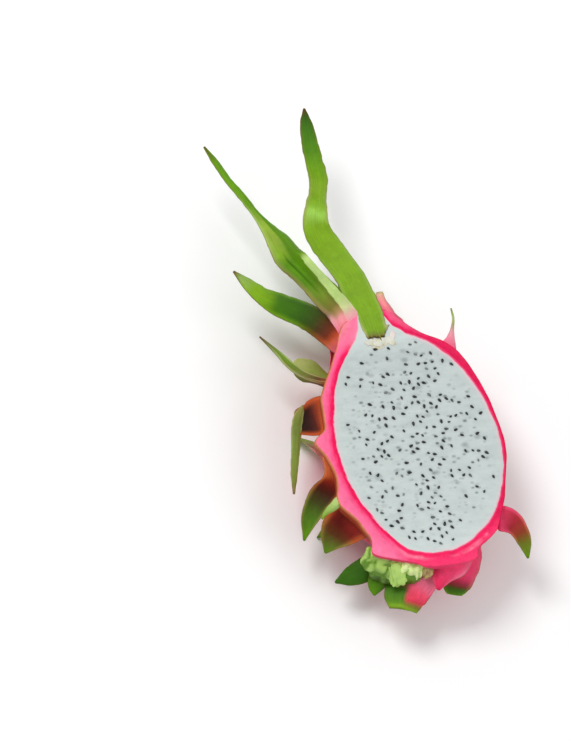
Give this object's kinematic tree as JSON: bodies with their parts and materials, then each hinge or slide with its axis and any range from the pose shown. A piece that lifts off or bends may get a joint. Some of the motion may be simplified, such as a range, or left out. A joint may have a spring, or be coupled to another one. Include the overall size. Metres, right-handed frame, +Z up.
{
  "type": "halved dragon fruit",
  "caption": "Half of a white-fleshed dragon fruit, cut lengthwise, lying on its scaly pink rind with the seeded face up and long green bracts at the crown.",
  "frame": {"origin": "middle of the small flat spot under the rind, on the surface that the half lies on", "axes": "+Y along the fruit towards the crown of bracts, +X to the right of the cut face seen from above, +Z up, out of the cut face"},
  "size_m": [0.111, 0.2491, 0.0406],
  "materials": {
    "rind_skin": "satin",
    "flesh": "satin"
  },
  "bodies": {
    "root": {"rind_with_scales": "rind_skin", "flesh_with_seeds": "flesh"}
  },
  "joints": []
}
